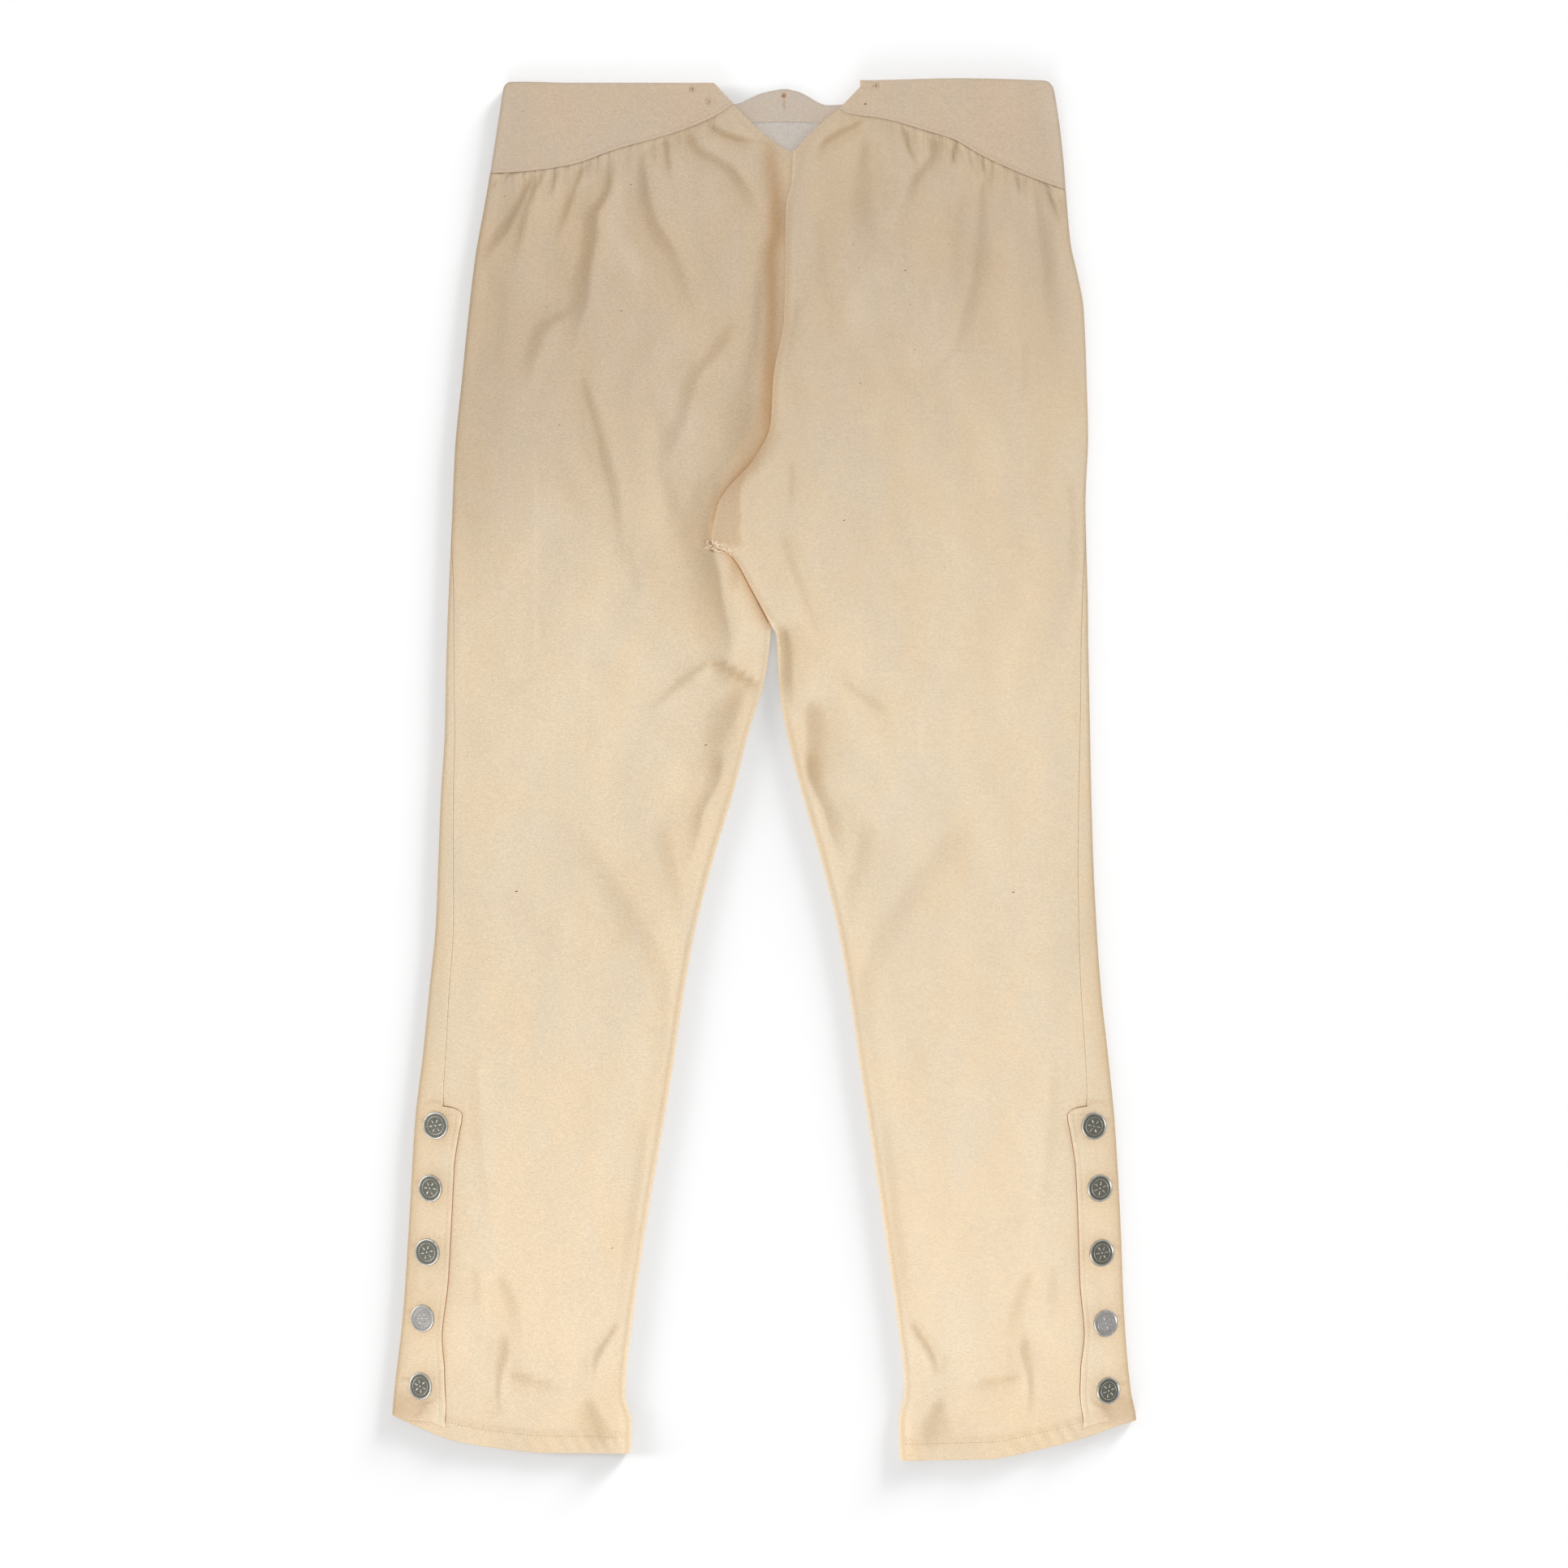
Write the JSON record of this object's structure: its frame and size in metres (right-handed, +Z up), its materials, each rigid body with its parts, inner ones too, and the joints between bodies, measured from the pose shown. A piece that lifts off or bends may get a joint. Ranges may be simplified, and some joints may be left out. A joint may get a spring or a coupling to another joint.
{
  "type": "colonial overalls, laid flat with the back up",
  "caption": "Long-legged colonial breeches in cream twill, laid flat: gathered seat, curved waistband, open back vent, buttoned lower legs.",
  "frame": {"origin": "centre of the laid garment's outline, on the surface that it rests on", "axes": "+X to the wearer's right, +Y towards the waist, +Z up from the surface, out of the garment's back"},
  "size_m": [0.5777, 1.0714, 0.0217],
  "materials": {
    "cloth": "cream cotton twill with a soft brushed nap",
    "waistband_cloth": "the same cream twill, doubled and pressed",
    "lining_cloth": "plain white cotton lining",
    "pewter": "antiqued silver-grey metal, dark in the recess"
  },
  "bodies": {
    "root": {"back_left": "cloth", "back_right": "cloth", "front_left": "cloth", "front_right": "cloth", "waistband_back_left": "waistband_cloth", "waistband_back_right": "waistband_cloth", "waistband_front": "waistband_cloth", "lining_front": "lining_cloth", "button_left_1": "pewter", "button_left_2": "pewter", "button_left_3": "pewter", "button_left_4": "pewter", "button_left_5": "pewter", "button_right_1": "pewter", "button_right_2": "pewter", "button_right_3": "pewter", "button_right_4": "pewter", "button_right_5": "pewter"}
  },
  "joints": []
}
